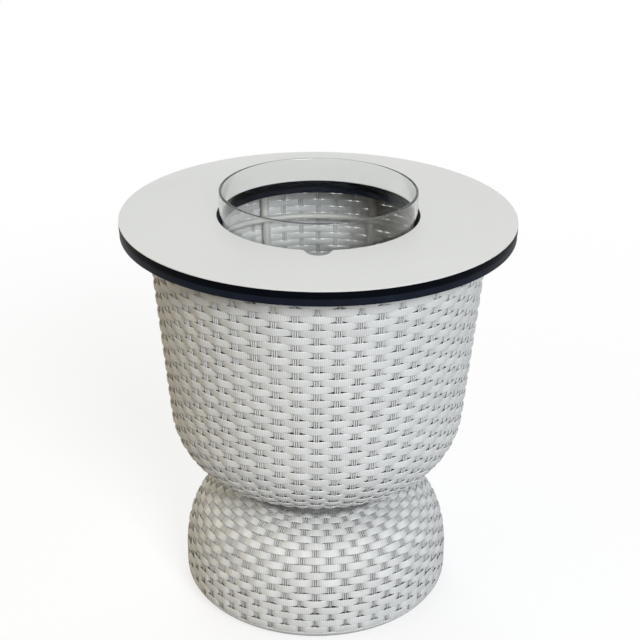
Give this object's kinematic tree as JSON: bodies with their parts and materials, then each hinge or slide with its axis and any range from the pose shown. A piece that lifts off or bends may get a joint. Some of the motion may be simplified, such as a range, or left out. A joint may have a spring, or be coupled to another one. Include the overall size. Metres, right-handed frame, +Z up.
{
  "type": "ice bucket side table",
  "caption": "Round side table: white top with a black edge on a woven hourglass stand, and a clear ice bowl that lifts out of a hole in the top.",
  "frame": {"origin": "on the floor under the middle of the table", "axes": "+Z up, -Y towards the front, where the finger notch is cut in the rim of the hole"},
  "size_m": [0.45, 0.45, 0.509],
  "materials": {
    "white_laminate": "smooth satin laminate",
    "black_core": "satin machined edge",
    "black_board": "satin black paint",
    "pale_weave": "extruded synthetic cane, finely striated",
    "powder_coat": "fine powder coat",
    "shelf_sheet": "rolled sheet",
    "clear_acrylic": "clear polished acrylic",
    "grey_silicone": "matt silicone",
    "black_rubber": "matt rubber",
    "bright_steel": "zinc plated"
  },
  "bodies": {
    "table": {"tabletop_face": "white_laminate", "tabletop_core": "black_core", "backing_plate": "black_board", "fixing_tab_1": "powder_coat", "fixing_tab_2": "powder_coat", "fixing_tab_3": "powder_coat", "fixing_tab_4": "powder_coat", "fixing_screw_1": "bright_steel", "fixing_screw_2": "bright_steel", "fixing_screw_3": "bright_steel", "fixing_screw_4": "bright_steel", "top_ring": "powder_coat", "upper_ring": "powder_coat", "shelf_ring": "powder_coat", "waist_ring": "powder_coat", "belly_ring": "powder_coat", "foot_ring": "powder_coat", "bucket_rod_1": "powder_coat", "bucket_rod_2": "powder_coat", "bucket_rod_3": "powder_coat", "bucket_rod_4": "powder_coat", "bucket_rod_5": "powder_coat", "bucket_rod_6": "powder_coat", "bucket_rod_7": "powder_coat", "bucket_rod_8": "powder_coat", "base_rod_1": "powder_coat", "base_rod_2": "powder_coat", "base_rod_3": "powder_coat", "base_rod_4": "powder_coat", "base_rod_5": "powder_coat", "base_rod_6": "powder_coat", "base_rod_7": "powder_coat", "base_rod_8": "powder_coat", "wicker_bucket": "pale_weave", "wicker_base": "pale_weave", "foot_binding": "pale_weave", "shelf_plate": "shelf_sheet", "bowl_pad_1": "grey_silicone", "bowl_pad_2": "grey_silicone", "bowl_pad_3": "grey_silicone", "bowl_pad_4": "grey_silicone", "foot_tab_1": "powder_coat", "foot_tab_2": "powder_coat", "foot_tab_3": "powder_coat", "foot_tab_4": "powder_coat", "glide_1": "black_rubber", "glide_2": "black_rubber", "glide_3": "black_rubber", "glide_4": "black_rubber", "glide_screw_1": "bright_steel", "glide_screw_2": "bright_steel", "glide_screw_3": "bright_steel", "glide_screw_4": "bright_steel"},
    "bowl": {"ice_bowl": "clear_acrylic"}
  },
  "joints": [
    {"name": "bowl_lift", "type": "slide", "parent": "table", "child": "bowl", "axis": [0, 0, 1], "range_m": [0, 0.2]}
  ]
}
